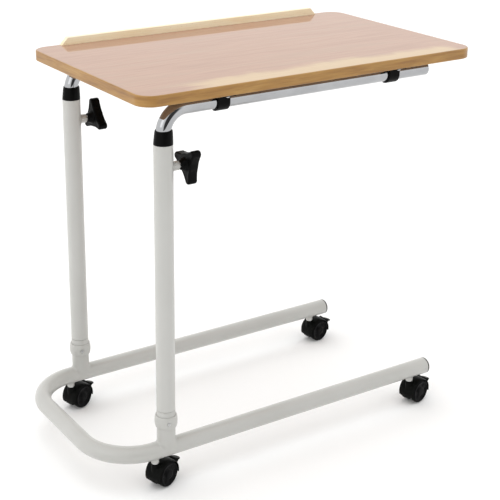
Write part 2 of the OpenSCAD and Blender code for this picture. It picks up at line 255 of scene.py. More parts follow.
def coords(nt, scale=(1, 1, 1), rotate=(0, 0, 0)):
    tc = nt.nodes.new("ShaderNodeTexCoord")
    mp = nt.nodes.new("ShaderNodeMapping")
    mp.inputs["Scale"].default_value = scale
    mp.inputs["Rotation"].default_value = rotate
    nt.links.new(tc.outputs["Object"], mp.inputs["Vector"])
    return mp.outputs["Vector"]


def noise(nt, vec, scale, detail=4.0, rough=0.55, distort=0.0):
    n = nt.nodes.new("ShaderNodeTexNoise")
    n.inputs["Scale"].default_value = scale
    n.inputs["Detail"].default_value = detail
    n.inputs["Roughness"].default_value = rough
    n.inputs["Distortion"].default_value = distort
    nt.links.new(vec, n.inputs["Vector"])
    return n.outputs["Fac"]


def ramp(nt, fac, stops):
    r = nt.nodes.new("ShaderNodeValToRGB")
    el = r.color_ramp.elements
    while len(el) < len(stops):
        el.new(0.5)
    for e, (p, c) in zip(el, stops):
        e.position = p
        e.color = (*c, 1) if len(c) == 3 else c
    nt.links.new(fac, r.inputs["Fac"])
    return r.outputs["Color"]


def span(nt, fac, lo, hi, out0=0.0, out1=1.0, smooth=False):
    m = nt.nodes.new("ShaderNodeMapRange")
    m.interpolation_type = "SMOOTHSTEP" if smooth else "LINEAR"
    m.inputs["From Min"].default_value = lo
    m.inputs["From Max"].default_value = hi
    m.inputs["To Min"].default_value = out0
    m.inputs["To Max"].default_value = out1
    nt.links.new(fac, m.inputs["Value"])
    return m.outputs["Result"]


def maths(nt, op, a, b=None):
    m = nt.nodes.new("ShaderNodeMath")
    m.operation = op
    for i, v in enumerate((a, b)):
        if v is None:
            continue
        if isinstance(v, (int, float)):
            m.inputs[i].default_value = v
        else:
            nt.links.new(v, m.inputs[i])
    return m.outputs[0]


def mix(nt, fac, a, b, mode="MIX"):
    m = nt.nodes.new("ShaderNodeMix")
    m.data_type = "RGBA"
    m.blend_type = mode
    for i, v in ((0, fac), (6, a), (7, b)):
        if isinstance(v, (int, float)):
            m.inputs[i].default_value = v
        elif isinstance(v, tuple):
            m.inputs[i].default_value = (*v, 1)
        else:
            nt.links.new(v, m.inputs[i])
    return m.outputs[2]


def bump(nt, bsdf, height, distance, strength=1.0, coat=False):
    b = nt.nodes.new("ShaderNodeBump")
    b.inputs["Distance"].default_value = distance * MM
    b.inputs["Strength"].default_value = strength
    nt.links.new(height, b.inputs["Height"])
    nt.links.new(b.outputs["Normal"], bsdf.inputs["Normal"])
    if coat:
        nt.links.new(b.outputs["Normal"], bsdf.inputs["Coat Normal"])


# pointiness mask of the convex edges; the materials use it to paint edge highlights
def edge_mask(nt, lo=0.52, hi=0.60):
    g = nt.nodes.new("ShaderNodeNewGeometry")
    return span(nt, g.outputs["Pointiness"], lo, hi)


def axis_of(nt, name):
    tc = nt.nodes.new("ShaderNodeTexCoord")
    s = nt.nodes.new("ShaderNodeSeparateXYZ")
    nt.links.new(tc.outputs["Object"], s.inputs[0])
    return s.outputs[name]


# ---------------------------------------------------------------- materials
def white_paint():
    m, nt, b = nodes_of("white_paint")
    v = coords(nt)
    large = noise(nt, v, 9.0, 3)
    fine = noise(nt, v, 420.0, 2, 0.4)
    col = ramp(nt, large, [(0.3, (0.462, 0.460, 0.436)), (0.7, (0.505, 0.503, 0.482))])
    # painted highlight: the convex edges are lightened towards a paler grey, as if light caught them
    edge_highlight = edge_mask(nt, 0.56, 0.66)
    col = mix(nt, maths(nt, "MULTIPLY", edge_highlight, 0.35), col, (0.58, 0.58, 0.56))
    nt.links.new(col, b.inputs["Base Color"])
    nt.links.new(span(nt, noise(nt, v, 60.0, 5), 0.3, 0.7, 0.30, 0.42), b.inputs["Roughness"])
    set_in(b, Coat_Weight=0.40, Coat_Roughness=0.14)
    bump(nt, b, fine, 0.035)
    return m


def chrome():
    m, nt, b = nodes_of("chrome")
    v = coords(nt)
    set_in(b, Metallic=1.0)
    nt.links.new(ramp(nt, noise(nt, v, 30.0, 3), [(0.3, (0.37, 0.376, 0.388)), (0.7, (0.43, 0.435, 0.447))]), b.inputs["Base Color"])
    nt.links.new(span(nt, noise(nt, v, 120.0, 6), 0.35, 0.75, 0.03, 0.085), b.inputs["Roughness"])
    bump(nt, b, noise(nt, v, 900.0, 2), 0.004)
    return m


def zinc():
    m, nt, b = nodes_of("zinc")
    v = coords(nt)
    set_in(b, Metallic=1.0)
    nt.links.new(ramp(nt, noise(nt, v, 220.0, 4), [(0.3, (0.50, 0.50, 0.49)), (0.7, (0.68, 0.685, 0.69))]), b.inputs["Base Color"])
    nt.links.new(span(nt, noise(nt, v, 350.0, 4), 0.3, 0.7, 0.22, 0.42), b.inputs["Roughness"])
    bump(nt, b, noise(nt, v, 1200.0, 2), 0.01)
    return m


def plastic(name, dark, light, r0, r1, grain, depth, shine=0.2):
    m, nt, b = nodes_of(name)
    v = coords(nt)
    col = ramp(nt, noise(nt, v, 55.0, 4), [(0.3, dark), (0.7, light)])
    # painted highlight: the convex edges are lifted to a lighter tone, as if light caught them
    edge_highlight = edge_mask(nt, 0.54, 0.64)
    col = mix(nt, maths(nt, "MULTIPLY", edge_highlight, 0.35), col, tuple(min(1.0, c * 2.0 + 0.006) for c in light))
    nt.links.new(col, b.inputs["Base Color"])
    nt.links.new(span(nt, noise(nt, v, 140.0, 5), 0.3, 0.7, r0, r1), b.inputs["Roughness"])
    set_in(b, Specular_IOR_Level=shine)
    bump(nt, b, noise(nt, v, grain, 3, 0.6), depth)
    return m


def wood_laminate():
    """Pinkish brown printed wood under a hard gloss film, with a pale sapwood streak along the front edge."""
    m, nt, b = nodes_of("wood_laminate")
    long = coords(nt, (1.0, 9.0, 1.0))
    broad = noise(nt, long, 5.0, 3, 0.5, 0.6)
    streaks = noise(nt, coords(nt, (2.0, 60.0, 1.0)), 6.0, 5, 0.6, 0.4)
    pores = noise(nt, coords(nt, (14.0, 520.0, 1.0)), 4.0, 2, 0.5)
    col = ramp(nt, broad, [(0.28, (0.405, 0.238, 0.160)), (0.5, (0.455, 0.270, 0.182)), (0.72, (0.428, 0.276, 0.186))])
    col = mix(nt, span(nt, streaks, 0.38, 0.72, 0.0, 0.55), col, (0.355, 0.195, 0.128))
    col = mix(nt, span(nt, pores, 0.58, 0.75, 0.0, 0.22), col, (0.25, 0.11, 0.06))
    x, y = axis_of(nt, "X"), axis_of(nt, "Y")
    wave = maths(nt, "MULTIPLY", maths(nt, "SUBTRACT", noise(nt, coords(nt, (1.0, 0.25, 1.0)), 11.0, 3), 0.5), 0.060)
    edge = maths(nt, "ADD", maths(nt, "ADD", y, wave), maths(nt, "MULTIPLY", maths(nt, "SUBTRACT", streaks, 0.5), 0.012))
    near = span(nt, edge, -0.158, -0.130, 1.0, 0.0, True)
    start = span(nt, maths(nt, "ADD", x, maths(nt, "MULTIPLY", maths(nt, "SUBTRACT", broad, 0.5), 0.08)), -0.205, -0.150, 0.0, 1.0, True)
    stop = span(nt, x, 0.285, 0.312, 1.0, 0.0, True)
    pale = maths(nt, "MULTIPLY", maths(nt, "MULTIPLY", near, start), stop)
    col = mix(nt, maths(nt, "MULTIPLY", pale, 0.80), col, mix(nt, streaks, (0.66, 0.50, 0.29), (0.56, 0.40, 0.21)))
    nt.links.new(col, b.inputs["Base Color"])
    nt.links.new(span(nt, streaks, 0.3, 0.7, 0.26, 0.36), b.inputs["Roughness"])
    set_in(b, Coat_Weight=0.75, Coat_Roughness=0.035, Coat_IOR=1.6, Specular_IOR_Level=0.0)
    bump(nt, b, pores, 0.02, 0.5)
    return m


def edge_wood(name, dark, mid, light, gloss=0.3):
    m, nt, b = nodes_of(name)
    a = noise(nt, coords(nt, (1.0, 1.0, 9.0)), 14.0, 4, 0.55, 0.4)
    fine = noise(nt, coords(nt, (3.0, 3.0, 70.0)), 12.0, 3, 0.5)
    col = ramp(nt, a, [(0.28, dark), (0.5, mid), (0.74, light)])
    col = mix(nt, span(nt, fine, 0.45, 0.75, 0.0, 0.35), col, tuple(c * 0.62 for c in dark))
    # painted highlight: the convex edges, above all the rounded top edge of the band, are lightened, as if light caught
    # them
    edge_highlight = edge_mask(nt, 0.50, 0.56)
    col = mix(nt, maths(nt, "MULTIPLY", edge_highlight, 0.30), col, tuple(min(1.0, c * 1.5) for c in light))
    nt.links.new(col, b.inputs["Base Color"])
    nt.links.new(span(nt, fine, 0.3, 0.7, gloss, gloss + 0.14), b.inputs["Roughness"])
    set_in(b, Coat_Weight=0.2, Coat_Roughness=0.15)
    bump(nt, b, fine, 0.03, 0.6)
    return m


def lip_wood():
    m, nt, b = nodes_of("lip_wood")
    long = noise(nt, coords(nt, (1.0, 16.0, 16.0)), 5.0, 4, 0.5, 0.5)
    fine = noise(nt, coords(nt, (6.0, 160.0, 160.0)), 5.0, 3, 0.5)
    flecks = noise(nt, coords(nt, (60.0, 300.0, 300.0)), 4.0, 1)
    col = ramp(nt, long, [(0.3, (0.93, 0.77, 0.50)), (0.55, (0.96, 0.85, 0.61)), (0.75, (0.97, 0.91, 0.74))])
    col = mix(nt, span(nt, fine, 0.45, 0.75, 0.0, 0.35), col, (0.84, 0.60, 0.35))
    col = mix(nt, span(nt, flecks, 0.66, 0.74, 0.0, 0.3), col, (0.50, 0.27, 0.12))
    nt.links.new(col, b.inputs["Base Color"])
    nt.links.new(span(nt, fine, 0.3, 0.7, 0.32, 0.46), b.inputs["Roughness"])
    set_in(b, Coat_Weight=0.25, Coat_Roughness=0.2)
    bump(nt, b, fine, 0.03, 0.5)
    return m


def chipboard():
    m, nt, b = nodes_of("chipboard")
    v = coords(nt)
    long = noise(nt, coords(nt, (1.0, 10.0, 1.0)), 6.0, 4, 0.5, 0.5)
    chips = noise(nt, v, 260.0, 3, 0.6)
    col = ramp(nt, long, [(0.3, (0.25, 0.125, 0.05)), (0.7, (0.36, 0.20, 0.09))])
    col = mix(nt, span(nt, chips, 0.5, 0.7, 0.0, 0.3), col, (0.20, 0.10, 0.04))
    nt.links.new(col, b.inputs["Base Color"])
    nt.links.new(span(nt, chips, 0.3, 0.7, 0.45, 0.6), b.inputs["Roughness"])
    bump(nt, b, chips, 0.03, 0.6)
    return m


MATS = {
    "white_paint": white_paint(),
    "chrome": chrome(),
    "zinc": zinc(),
    "black_plastic": plastic("black_plastic", (0.0015, 0.0015, 0.0015), (0.0030, 0.0030, 0.0030), 0.26, 0.40, 700.0, 0.02, 0.06),
    "glide_plastic": plastic("glide_plastic", (0.012, 0.012, 0.012), (0.02, 0.02, 0.02), 0.38, 0.52, 500.0, 0.02, 0.3),
    "knob_plastic": plastic("knob_plastic", (0.0016, 0.0016, 0.0016), (0.0034, 0.0034, 0.0034), 0.34, 0.46, 900.0, 0.03, 0.06),
    "castor_plastic": plastic("castor_plastic", (0.0018, 0.0021, 0.0017), (0.0038, 0.0042, 0.0036), 0.36, 0.50, 800.0, 0.03, 0.06),
    "wheel_plastic": plastic("wheel_plastic", (0.0017, 0.0017, 0.0019), (0.0035, 0.0035, 0.0037), 0.36, 0.50, 600.0, 0.02, 0.06),
    "wood_laminate": wood_laminate(),
    "edge_band": edge_wood("edge_band", (0.235, 0.100, 0.014), (0.340, 0.165, 0.028), (0.425, 0.232, 0.052)),
    "lip_wood": lip_wood(),
    "chipboard": chipboard(),
}


def dress(o, body, slot, *replaced):
    """Material, body and slot for a new piece, and the CAD nodes it stands for."""
    o.data.materials.clear()
    o.data.materials.append(MATS[slot])
    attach(o, body)
    if replaced:
        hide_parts(*replaced)
    return o


# every CAD node that stays takes the procedural material of its slot
for n, o in NODES.items():
    old = o.data.materials[0].name.split(".")[0] if o.data.materials else "white_paint"
    o.data.materials.clear()
    o.data.materials.append(MATS[old])

# ---------------------------------------------------------------- base
S = []
leg0, leg1 = POST_X - SETBACK + BASE_BEND, POST_X + LEG_REACH
pts, tans = [(leg1, FRONT_Y, BASE_Z)], [(-1, 0, 0)]
for t in np.linspace(0.1, 1, 10):
    pts.append((leg1 + (leg0 - leg1) * t, FRONT_Y, BASE_Z))
    tans.append((-1, 0, 0))
for i in range(1, 37):
    a = math.radians(90 * i / 36)
    pts.append((leg0 - BASE_BEND * math.sin(a), FRONT_Y + BASE_BEND * (1 - math.cos(a)), BASE_Z))
    tans.append((-math.cos(a), math.sin(a), 0))
for t in np.linspace(0.25, 1, 4):
    pts.append((POST_X - SETBACK, FRONT_Y + BASE_BEND + (REAR_Y - FRONT_Y - 2 * BASE_BEND) * t, BASE_Z))
    tans.append((0, 1, 0))
for i in range(1, 37):
    a = math.radians(90 * i / 36)
    pts.append((POST_X - SETBACK + BASE_BEND * (1 - math.cos(a)), REAR_Y - BASE_BEND + BASE_BEND * math.sin(a), BASE_Z))
    tans.append((math.sin(a), math.cos(a), 0))
for t in np.linspace(0.1, 1, 10):
    pts.append((leg0 + (leg1 - leg0) * t, REAR_Y, BASE_Z))
    tans.append((1, 0, 0))
dress(make("base_frame_tube", *hollow(pts, tans, (0, 0, 1), BASE_R, BASE_R - BASE_WALL, 80)), "base", "white_paint", "base_tube")


def saddle(r, y, low):
    """Height of the tube's upper surface at sideways distance y, or `low` beyond its sides."""
    return math.sqrt(max(BASE_R * BASE_R - y * y, 0.0)) if abs(y) < BASE_R else low


def stub(name, y):
    """The welded stub: a fillet that follows the tube, the wall, the step under the post and the spigot."""
    n = 120
    rings = []
    for grow, lift in ((2.6, -0.55), (2.2, 0.15), (1.35, 0.75), (0.7, 1.6), (0.22, 2.8), (0.0, 4.4)):
        ring = []
        for j in range(n):
            a = TAU * j / n
            r = POST_R + grow
            side = r * math.sin(a)
            # past the tube's sides the skirt closes in under the widest point
            if abs(side) < BASE_R:
                z = math.sqrt(BASE_R ** 2 - side ** 2)
                x_r = r
            else:
                z = 0.0
                x_r = r - (grow * 0.75) * min(1.0, (abs(side) - BASE_R) / 2.0)
            z = max(z, 0.0) + lift
            ring.append((POST_X + x_r * math.cos(a), y + x_r * math.sin(a), BASE_Z + z))
        rings.append(ring)
    outer = [(POST_R, 84.0), (POST_R, 96.0), (POST_R, POST_FOOT - 1.4), (POST_R - 0.35, POST_FOOT - 0.75),
             (POST_BORE - 0.1, POST_FOOT - 0.65), (POST_BORE - 0.1, POST_FOOT + 11.5), (POST_BORE - 1.6, POST_FOOT + 13.0), (0.5, POST_FOOT + 13.0)]
    for r, z in outer:
        rings.append([(POST_X + r * math.cos(TAU * j / n), y + r * math.sin(TAU * j / n), z) for j in range(n)])
    # close underneath, inside the tube
    low = [[(POST_X + 9 * math.cos(TAU * j / n), y + 9 * math.sin(TAU * j / n), BASE_Z) for j in range(n)]]
    return make(name, *stack(low + rings), sharp=50)


for side, y in (("front", FRONT_Y), ("rear", REAR_Y)):
    dress(stub(side + "_stub", y), "base", "white_paint", side + "_socket")

ring_low, ring_high = BASE_Z + 38.5, BASE_Z + 58.0


def lock_ring(name, y):
    """Barrel-shaped ring with rolled edges and a hole for its set screw."""
    prof = [(POST_R + 0.06, ring_low + 0.4), (POST_R + 0.5, ring_low)]
    prof += [(POST_R + 1.5, ring_low), (POST_R + 2.0, ring_low + 0.35)]
    mid, half = (ring_low + ring_high) / 2, (ring_high - ring_low) / 2
    for i in range(0, 17):
        t = -1 + 2 * i / 16
        prof.append((POST_R + 2.2 + 1.1 * (1 - abs(t) ** 2.4), mid + t * (half - 1.1)))
    prof += [(POST_R + 2.0, ring_high - 0.35), (POST_R + 1.5, ring_high), (POST_R + 0.5, ring_high), (POST_R + 0.06, ring_high - 0.4)]

    def dent(a, r, z):
        d = math.degrees(a) - 256.0
        d = (d + 180) % 360 - 180
        s = math.hypot(math.radians(d) * (POST_R + 3.3), z - mid)
        return -2.2 / (1 + math.exp((s - 2.7) * 5.0)) if r > POST_R + 2.1 else 0.0

    return make(name, *lathe(prof, 144, at(POST_X, y), bump=dent), sharp=60)


for side, y in (("front", FRONT_Y), ("rear", REAR_Y)):
    dress(lock_ring(side + "_barrel_ring", y), "base", "white_paint", side + "_ring")

# leg end caps: skirt, thin flange and shallow dome
for side, y in (("front", FRONT_Y), ("rear", REAR_Y)):
    ri = BASE_R - BASE_WALL - 0.1
    prof = [(0, -14), (ri - 1.6, -14), (ri - 1.6, -13.7), (ri, -13), (ri, 0), (BASE_R - 0.1, 0), (BASE_R, 0.25), (BASE_R, 1.3)]
    prof += [(BASE_R - 0.25, 1.9), (BASE_R - 0.9, 2.6), (BASE_R - 2.2, 3.3), (BASE_R - 4.5, 4.0), (6.0, 4.55), (3.0, 4.85), (0, 4.9)]
    dress(make(side + "_end_cap", *lathe(prof, 72, lying_x(leg1, y, BASE_Z)), sharp=40), "base", "black_plastic", side + "_leg_cap")

# weld beads at the castor bosses
for c, (cx, cy, h) in CASTORS.items():
    rings = []
    n = 60
    for r, lift in ((5.95, -2.2), (6.15, -1.6), (6.6, -0.9), (7.3, -0.35), (8.1, 0.0), (7.6, 0.9), (5.5, 0.9)):
        rings.append([(cx + r * math.cos(TAU * j / n), cy + r * math.sin(TAU * j / n),
                       BASE_Z - math.sqrt(BASE_R ** 2 - (r * math.sin(TAU * j / n)) ** 2) + lift) for j in range(n)])
    dress(make(c + "_boss_weld", *stack(rings, closed=True), sharp=60), "base", "white_paint")

# ---------------------------------------------------------------- collars
def collar(name, y):
    n = 120
    rings = []

    def hole(z):
        """Polar radius of the bore: straight, opened at the mouth where the arm starts to bend."""
        d = max(0.0, z - (ARM_Z - ARM_BEND - 0.5))
        off = ARM_BEND - math.sqrt(max(ARM_BEND ** 2 - d * d, 0.0))
        R = ARM_R + 0.45 if d > 0 else ARM_R + 0.1
        return lambda a: max(ARM_R + 0.1, off * math.cos(a) + math.sqrt(R * R - (off * math.sin(a)) ** 2))

    def circ(r, z, cx=0.0):
        rings.append([(POST_X + cx + r * math.cos(TAU * j / n), y + r * math.sin(TAU * j / n), z) for j in range(n)])

    def bore(z, grow=0.0):
        f = hole(z)
        rings.append([(POST_X + (f(TAU * j / n) + grow) * math.cos(TAU * j / n), y + (f(TAU * j / n) + grow) * math.sin(TAU * j / n), z) for j in range(n)])

    top = POST_TOP + COLLAR_H
    circ(POST_BORE - 0.05, POST_TOP - 26)
    circ(POST_BORE - 0.05, POST_TOP + 0.02)
    circ(POST_R - 0.35, POST_TOP + 0.02)
    circ(POST_R, POST_TOP + 0.4)
    for t in (0.12, 0.3, 0.5, 0.7, 0.86):
        circ(POST_R - 1.45 * t ** 1.25, POST_TOP + COLLAR_H * t, 0.95 * t)
    circ(POST_R - 1.55, top - 1.4, 0.9)
    circ(POST_R - 1.65, top - 0.7, 0.9)
    circ(POST_R - 1.78, top - 0.2, 0.9)
    circ(POST_R - 1.95, top, 0.9)
    bore(top, 0.22)
    bore(top - 0.3, 0.08)
    for z in (top - 1.2, top - 2.5, top - 4, top - 6, top - 8.5, top - 12, POST_TOP, POST_TOP - 25.6):
        bore(z)
    bore(POST_TOP - 26, 0.25)
    return make(name, *stack(rings, closed=True), sharp=50)


for side, y in (("front", FRONT_Y), ("rear", REAR_Y)):
    dress(collar(side + "_guide_collar", y), "base", "black_plastic", side + "_collar")

# ---------------------------------------------------------------- arms
def arm_path(y):
    p, t = [(POST_X, y, ARM_FOOT)], [(0, 0, 1)]
    bz = ARM_Z - ARM_BEND
    for k in np.linspace(0.2, 1, 5):
        p.append((POST_X, y, ARM_FOOT + (bz - ARM_FOOT) * k))
        t.append((0, 0, 1))
    for i in range(1, 41):
        a = math.radians(90 * i / 40)
        p.append((POST_X + ARM_BEND * (1 - math.cos(a)), y, bz + ARM_BEND * math.sin(a)))
        t.append((math.sin(a), 0, math.cos(a)))
    for k in np.linspace(0.2, 1, 5):
        p.append((POST_X + ARM_BEND + (ARM_REACH - ARM_BEND) * k, y, ARM_Z))
        t.append((1, 0, 0))
    return p, t


for side, y in (("front", FRONT_Y), ("rear", REAR_Y)):
    p, t = arm_path(y)
    dress(make(side + "_chrome_arm", *hollow(p, t, (0, 1, 0), ARM_R, ARM_R - ARM_WALL, 96), sharp=40), side + "_arm_set", "chrome", side + "_arm")
    ri = ARM_R - ARM_WALL - 0.1
    prof = [(0, -12), (ri - 1.2, -12), (ri, -11), (ri, -0.6), (ri - 0.3, -0.2), (ri - 1.3, 0.3), (ri - 3.2, 0.65), (3.0, 0.9), (0, 0.98)]
    dress(make(side + "_arm_end_plug", *lathe(prof, 64, lying_x(POST_X + ARM_REACH, y, ARM_Z)), sharp=40), side + "_arm_set", "black_plastic", side + "_arm_plug")


# ---------------------------------------------------------------- board
def outline(inset, n=20):
    """The board's plan outline, inset all round, as points that match from one inset to the next."""
    r = max(CORNER_R - inset, 0.2)
    hx, hy = BOARD_L / 2 - inset, BOARD_W / 2 - inset
    out = []
    for (sx, sy, a0) in ((1, 1, 0), (-1, 1, 90), (-1, -1, 180), (1, -1, 270)):
        for i in range(n + 1):
            a = math.radians(a0 + 90 * i / n)
            out.append((sx * (hx - r) + r * math.cos(a), sy * (hy - r) + r * math.sin(a)))
    return out


def band_rings():
    top_r, low_r = 1.95, 1.3
    prof = [(BAND_T, 0.0), (low_r, 0.0)]
    prof += [(low_r - low_r * math.sin(math.radians(a)), low_r - low_r * math.cos(math.radians(a))) for a in (15, 30, 45, 60, 75, 90)]
    prof += [(0.0, 5.0), (0.0, 10.0)]
    prof += [(top_r - top_r * math.cos(math.radians(a)), BOARD_T - top_r + top_r * math.sin(math.radians(a))) for a in (0, 12, 24, 36, 48, 60, 72, 84, 90)]
    prof += [(BAND_T, BOARD_T), (BAND_T, BOARD_T * 0.5)]
    return [[(BOARD_X + px, py, BOARD_UNDER + z) for px, py in outline(d)] for d, z in prof]


dress(make("board_edge_band", *stack(band_rings(), closed=True), sharp=40), "top", "edge_band", "edge_band")


def lip_mesh():
    """The wooden strip: 45 degree ends, its long edges eased."""
    y1, y0 = BOARD_W / 2, BOARD_W / 2 - LIP_T
    z0 = BOARD_TOP - 1.0
    e = 1.1
    # section across the strip, (y, height): foot, front face, eased top, back face
    sec = [(y1, 0.0), (y0, 0.0), (y0, LIP_H + 1 - e)]
    sec += [(y0 + e - e * math.cos(math.radians(a)), LIP_H + 1 - e + e * math.sin(math.radians(a))) for a in (20, 45, 70, 90)]
    sec += [(y1 - e + e * math.sin(math.radians(a)), LIP_H + 1 - e + e * math.cos(math.radians(a))) for a in (0, 20, 45, 70, 90)]
    rings = []
    half = LIP_L / 2
    for s in (-1, 1):
        ends = ((0.35, 0.0), (0.1, 0.1), (0.0, 0.5)) if s < 0 else ((0.0, 0.5), (0.1, 0.1), (0.35, 0.0))
        for shrink, back in ends:
            ring = []
            for (y, h) in sec:
                cut = max(0.0, h - 1.0)
                cy = (y0 + y1) / 2
                yy = y + (cy - y) * (shrink / (LIP_T / 2))
                hh = min(h, LIP_H + 1 - shrink)
                ring.append((BOARD_X + s * (half - cut - 0.35 + (0.35 - back if back < 0.35 else 0.0) - (0.5 if back == 0.5 else 0)), yy, z0 + hh))
            rings.append(ring)
    return make("book_lip_strip", *stack(rings), sharp=35)


dress(lip_mesh(), "top", "lip_wood", "book_lip")

# ---------------------------------------------------------------- clamps
def knob_outline(n=180):
    """Three rounded lobes blended into a round middle: radius against angle."""
    lobe, reach = 6.0, 30.5 - 6.0

    def dist(px, py):
        d = [math.hypot(px, py) - 14.2]
        for k in range(3):
            a = math.radians(120 * k)
            ux, uy = math.cos(a), math.sin(a)
            t = min(max((px * ux + py * uy) / reach, 0.0), 1.0)
            d.append(math.hypot(px - ux * t * reach, py - uy * t * reach) - (14.0 + (lobe - 14.0) * t))
        kk = 1.3
        m = min(d)
        return m - kk * math.log(sum(math.exp(-(q - m) / kk) for q in d)) + 0.15

    out = []
    for j in range(n):
        a = TAU * j / n
        lo, hi = 5.0, 36.0
        for _ in range(34):
            mid = (lo + hi) / 2
            if dist(mid * math.cos(a), mid * math.sin(a)) < 0:
                lo = mid
            else:
                hi = mid
        out.append(min(lo, 30.45))
    return out


KNOB = knob_outline()


def knob(name, y, turn):
    n = len(KNOB)
    base = np.array([(KNOB[j] * math.cos(TAU * j / n), KNOB[j] * math.sin(TAU * j / n)) for j in range(n)])
    nxt, prv = np.roll(base, -1, 0), np.roll(base, 1, 0)
    tan = nxt - prv
    tan /= np.linalg.norm(tan, axis=1)[:, None]
    nrm = np.stack([tan[:, 1], -tan[:, 0]], 1)
    x0, x1 = POST_R + 20.0, POST_R + 35.0
    c, s = math.cos(math.radians(turn)), math.sin(math.radians(turn))

    def ring(plan, x):
        x = np.broadcast_to(x, (n,))
        return [(POST_X + x[j], y + c * plan[j][0] - s * plan[j][1], KNOB_Z + s * plan[j][0] + c * plan[j][1]) for j in range(n)]

    rad = np.linalg.norm(base, axis=1)
    rings = []
    # back: hub face, cone, then the underside of the lobes, hollowed a little towards the tips
    hub = lambda r: base / rad[:, None] * r
    rings.append(ring(hub(4.08), x0 - 7.4))
    rings.append(ring(hub(4.6), x0 - 8.0))
    rings.append(ring(hub(6.5), x0 - 8.0))
    rings.append(ring(hub(7.0), x0 - 7.5))
    rings.append(ring(hub(8.2), x0 - 4.6))
    rings.append(ring(hub(9.5), x0 - 1.6))
    rings.append(ring(hub(10.6), x0 + 0.1))
    rr = 2.6
    inner = base - nrm * rr
    for t in (0.35, 0.7, 1.0):
        plan = hub(10.6) * (1 - t) + inner * t
        rings.append(ring(plan, x0 + 0.1 + 0.5 * math.sin(math.pi * t) - 0.1 * t))
    for a in (15, 30, 45, 60, 75, 90):
        q = math.radians(a)
        rings.append(ring(base - nrm * (rr - rr * math.sin(q)), x0 + rr - rr * math.cos(q)))
    rings.append(ring(base * 1.0, (x0 + x1) / 2))
    for a in (90, 75, 60, 45, 30, 15, 0):
        q = math.radians(a)
        rings.append(ring(base - nrm * (rr - rr * math.sin(q)), x1 - rr + rr * math.cos(q)))
    # front: dished, with a raised button over the stud
    for t, dip in ((0.82, 0.35), (0.62, 0.8), (0.48, 1.0)):
        rings.append(ring(inner * t, x1 - dip))
    for r, dip in ((6.6, 1.1), (6.1, 0.5), (5.4, 0.15), (4.0, 0.0), (1.2, 0.0)):
        rings.append(ring(hub(r), x1 - dip))
    v, f = stack(rings, caps=False)
    m = len(rings)
    f.append(tuple((m - 1) * n + j for j in range(n)))
    # bore for the stud
    start = len(v)
    v += ring(hub(4.08), POST_R + 28.0)
    for j in range(n):
        k = (j + 1) % n
        f.append((j, k, start + k, start + j))
    f.append(tuple(start + j for j in range(n)))
    return make(name, v, f, sharp=48)


def thread(name, y):
    """The clamp stud, with a real helical thread, and its nose for the swivel pad."""
    n, pitch = 40, 1.25
    x0, x1 = ARM_R + 2.3, POST_R + 28.0
    steps = int((x1 - x0) / pitch * 12)
    # the bore for the pad's pin comes first, then the thread
    rings = [[(POST_X + x, y + 1.58 * math.cos(TAU * j / n), KNOB_Z + 1.58 * math.sin(TAU * j / n)) for j in range(n)] for x in (x0 + 3.3, x0)]
    for i in range(steps + 1):
        x = x0 + (x1 - x0) * i / steps
        ring = []
        for j in range(n):
            a = TAU * j / n
            ph = ((x / pitch) - j / n) % 1.0
            depth = 0.62 * (1 - abs(2 * ph - 1))
            fade = min(1.0, (x - x0) / 1.2, (x1 - x) / 1.2)
            r = 3.98 - 0.62 + depth * max(fade, 0.0)
            ring.append((POST_X + x, y + r * math.cos(a), KNOB_Z + r * math.sin(a)))
        rings.append(ring)
    return make(name, *stack(rings), sharp=70)


def weld_nut(name, y):
    """Round weld nut with a chamfered face and a weld fillet where it meets the post."""
    n = 72
    rings = []

    def lay(r, f):
        rings.append([(POST_X + f(r * math.cos(TAU * j / n)), y + r * math.cos(TAU * j / n), KNOB_Z + r * math.sin(TAU * j / n)) for j in range(n)])

    wall = lambda lift: (lambda yy: math.sqrt(max(POST_R ** 2 - yy * yy, 0.0)) + lift)
    lay(4.1, wall(-0.6))
    lay(8.9, wall(-0.5))
    lay(8.9, wall(0.0))
    lay(8.0, wall(0.5))
    lay(7.3, wall(1.2))
    lay(7.0, wall(2.4))
    flat = lambda x: (lambda yy: x)
    lay(7.0, flat(POST_R + 4.0))
    lay(7.0, flat(POST_R + 8.6))
    lay(6.7, flat(POST_R + 9.4))
    lay(6.1, flat(POST_R + 9.9))
    lay(5.0, flat(POST_R + 10.0))
    lay(4.1, flat(POST_R + 9.4))
    return make(name, *stack(rings, closed=True), sharp=45)


for side, y, turn in (("front", FRONT_Y, 15.0), ("rear", REAR_Y, 84.0)):
    dress(knob(side + "_lobe_knob", y, turn), side + "_clamp_knob", "knob_plastic", side + "_knob")
    dress(thread(side + "_threaded_stud", y), side + "_clamp_knob", "zinc", side + "_stud")
    dress(weld_nut(side + "_weld_nut", y), "base", "white_paint", side + "_nut")

# ---------------------------------------------------------------- castors
def crown(c, cy_, turn):
    """Rounds the hood across its width and pulls its lower corners in."""
    ca, sa = math.cos(math.radians(turn)), math.sin(math.radians(turn))

    def f(p):
        x, y = p[0] - c, p[1] - cy_
        lx, ly = ca * x + sa * y, -sa * x + ca * y
        dx, dz = lx - TRAIL, p[2] - WHEEL_R
        r = math.hypot(dx, dz)
        if r > 21.9 and math.hypot(lx, ly) > 8.5:
            k = 1 - 0.050 * max(0.0, (abs(ly) - 7.0) / 8.5) ** 2
            rr = max(r * k, 21.45)
            dx, dz = dx * rr / r, dz * rr / r
        lx, z = TRAIL + dx, WHEEL_R + dz
        return (c + ca * lx - sa * ly, cy_ + sa * lx + ca * ly, z)

    return f


